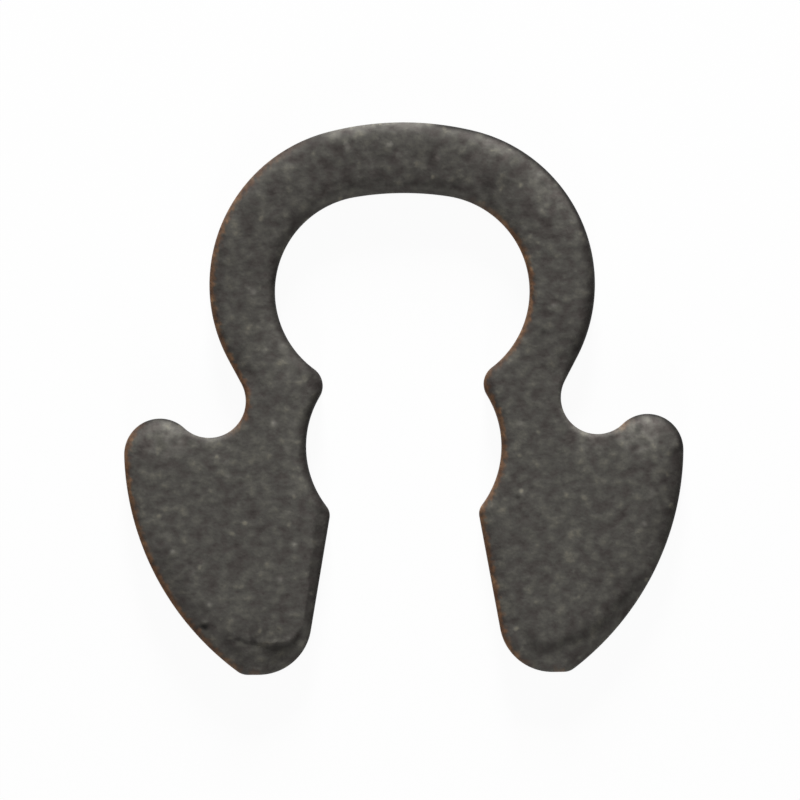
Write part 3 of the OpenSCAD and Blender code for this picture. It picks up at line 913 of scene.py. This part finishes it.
# %% The colour: the patterns added up, turned into a grey by the ramp, and multiplied by the tint
DARKEST, PALEST = 0.300, 0.900       # the sum of the patterns at the two ends of the ramp
COAT_COLOURS = ((0.0, "#332E2C"), (0.3, "#45413E"), (0.5, USUAL_COAT), (0.7, "#585650"), (1.0, "#716D62"))
tone = pebbles
for pattern, share in ((patches, 0.54), (clouds, 0.19), (grain, 0.27), (specks, 0.22), (scores, 0.7)):
    tone = add(tree, "ShaderNodeMath", {0: pattern, 1: share, 2: tone}, operation="MULTIPLY_ADD")
tone = add(tree, "ShaderNodeMapRange", {"Value": tone, "From Min": DARKEST, "From Max": PALEST})
ramp = add(tree, "ShaderNodeValToRGB", {"Fac": tone})
stops = ramp.color_ramp.elements       # it starts with one at 0 and one at 1
for place, _ in COAT_COLOURS[1:-1]:
    stops.new(place)
for stop, (_, hex_colour) in zip(stops, COAT_COLOURS):
    stop.color = linear(hex_colour)
tinted = add(tree, "ShaderNodeAttribute", attribute_name="coat_and_painted_light").outputs["Vector"]
colour = add(tree, "ShaderNodeVectorMath", {0: ramp, 1: tinted}, operation="MULTIPLY")
print("the ramp's stops are at", [round(stop.position, 2) for stop in stops])

# %% The bump, the roughness and the shader
BUMP = 0.035         # mm that a rise of 1 stands for; the patches rise and fall by about 0.4 of it
GRAIN_BUMP = 0.15    # how high the grain is, where the patches are 1
BURNISHED = 0.16     # how much smoother the wall is
height = add(tree, "ShaderNodeMath", {0: grain, 1: GRAIN_BUMP, 2: patches}, operation="MULTIPLY_ADD")
height = add(tree, "ShaderNodeMath", {0: height, 1: scores}, operation="ADD")
bump = add(tree, "ShaderNodeBump", {"Height": height, "Strength": 1.0, "Distance": BUMP * MM})
rough = add(tree, "ShaderNodeMapRange", {"Value": grain, "From Min": 0.3, "From Max": 0.7, "To Min": 0.62,
                                         "To Max": 0.78})
rough = add(tree, "ShaderNodeMath", {0: on_wall, 1: -BURNISHED, 2: rough}, operation="MULTIPLY_ADD")
shader = add(tree, "ShaderNodeBsdfPrincipled", {"Base Color": colour, "Roughness": rough, "Normal": bump,
                                                "Metallic": 0.0, "Specular IOR Level": 0.12})
add(tree, "ShaderNodeOutputMaterial", {"Surface": shader})
mesh.materials.append(coat)
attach(ring, "root")
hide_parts(NODE)
print(len(tree.nodes), "nodes in the coat's material")

# %% [markdown]
# ## The table, the lamps and the camera
#
# The ring lies flat on a white table. Most of the light comes from a wide lamp overhead. A low one behind the
# crown rakes across the face, so that the rolled edge and the mottle show, and a weak one faces it from the
# front. The table looks white because its own material glows for the camera and in reflections, and its paint
# is a mid grey, so the light that it throws back onto the steel stays plain.

# %% The table
TABLE = 0.6          # m
GLOW = 0.94          # share of the table's look that is its glow; the rest is paint, which holds the shadow
white = bpy.data.materials.new("white_table")
white.use_nodes = True
tree = white.node_tree
tree.nodes.clear()
path = add(tree, "ShaderNodeLightPath").outputs
seen = add(tree, "ShaderNodeMath", {0: path["Is Camera Ray"], 1: path["Is Glossy Ray"]}, operation="MAXIMUM")
glowing = add(tree, "ShaderNodeMath", {0: seen, 1: GLOW}, operation="MULTIPLY")
paint = add(tree, "ShaderNodeMixRGB", {"Fac": path["Is Camera Ray"], "Color1": linear("#7A7A7A"),
                                       "Color2": linear("#F4F4F4")})
paint = add(tree, "ShaderNodeBsdfDiffuse", {"Color": paint})
glow = add(tree, "ShaderNodeEmission", {"Color": (1, 1, 1, 1), "Strength": 1.0})
both = add(tree, "ShaderNodeMixShader", {0: glowing, 1: paint, 2: glow})
add(tree, "ShaderNodeOutputMaterial", {"Surface": both})

table_mesh = bpy.data.meshes.new("table")
half, z = TABLE / 2, foot * MM
corners = [(-half, -half, z), (half, -half, z), (half, half, z), (-half, half, z)]
table_mesh.from_pydata(corners, [], [(0, 1, 2, 3)])
table_mesh.materials.append(white)
table = bpy.data.objects.new("table", table_mesh)
bpy.context.scene.collection.objects.link(table)
print("the table is", TABLE, "m wide and", round(-foot, 3), "mm below the middle of the sheet")

# %% The world
ROOM_LIGHT = 0.03    # how strongly the room lights the ring, where 1 is white
world = bpy.data.worlds.new("studio")
bpy.context.scene.world = world
world.use_nodes = True
tree = world.node_tree
tree.nodes.clear()
seen = add(tree, "ShaderNodeLightPath").outputs["Is Camera Ray"]
room = add(tree, "ShaderNodeBackground", {"Color": (1, 1, 1, 1), "Strength": ROOM_LIGHT})
backdrop = add(tree, "ShaderNodeBackground", {"Color": (1, 1, 1, 1), "Strength": 1.0})
sky = add(tree, "ShaderNodeMixShader", {0: seen, 1: room, 2: backdrop})
add(tree, "ShaderNodeOutputWorld", {"Surface": sky})
print("the world is white to the camera and", ROOM_LIGHT, "to the ring")

# %% The lamps
def lamp(name, toward, elevation, distance, width, brightness):
    """A square lamp at that heading and elevation in degrees, turned to the ring from a distance in metres. A
    lamp of P watts gives a surface that faces it P / (pi * distance^2), and pi times brightness is what makes
    white paint look that bright. A low lamp is stronger by 1 / sin(elevation), since the face is turned up."""
    data = bpy.data.lights.new(name, "AREA")
    data.shape, data.size = "SQUARE", width
    data.energy = brightness * (math.pi * distance) ** 2
    out = Vector((*direction(toward) * math.cos(math.radians(elevation)), math.sin(math.radians(elevation))))
    spot = bpy.data.objects.new(name, data)
    spot.location = out * distance
    spot.rotation_mode = "QUATERNION"
    spot.rotation_quaternion = out.to_track_quat("Z", "Y")
    bpy.context.scene.collection.objects.link(spot)
    return spot


lamps = [lamp("overhead", 90, 88, 0.30, 0.20, 0.38),
         lamp("raking", 90, 14, 0.25, 0.06, 0.46 / math.sin(math.radians(14))),
         lamp("opposite", 268, 16, 0.25, 0.06, 0.12 / math.sin(math.radians(16)))]
print("the lamps, in watts:", {spot.name: round(spot.data.energy, 3) for spot in lamps})

# %% The camera
VIEW_WIDTH = 28.8 * MM
AIM = (-0.119, 1.675)    # mm
ROLL = -0.556            # degrees: the ring lies turned a touch anticlockwise in the view
DISTANCE = 0.40          # m
camera = bpy.data.objects.new("camera", bpy.data.cameras.new("camera"))
camera.data.sensor_width = 36.0
camera.data.lens = camera.data.sensor_width * DISTANCE / VIEW_WIDTH
camera.data.clip_start, camera.data.clip_end = 0.01, 10.0
camera.location = (AIM[0] * MM, AIM[1] * MM, DISTANCE)
camera.rotation_euler = (0, 0, math.radians(ROLL))
bpy.context.scene.collection.objects.link(camera)
bpy.context.scene.camera = camera
bpy.context.scene.view_settings.view_transform = "Standard"
print("the camera's lens is", round(camera.data.lens), "mm")
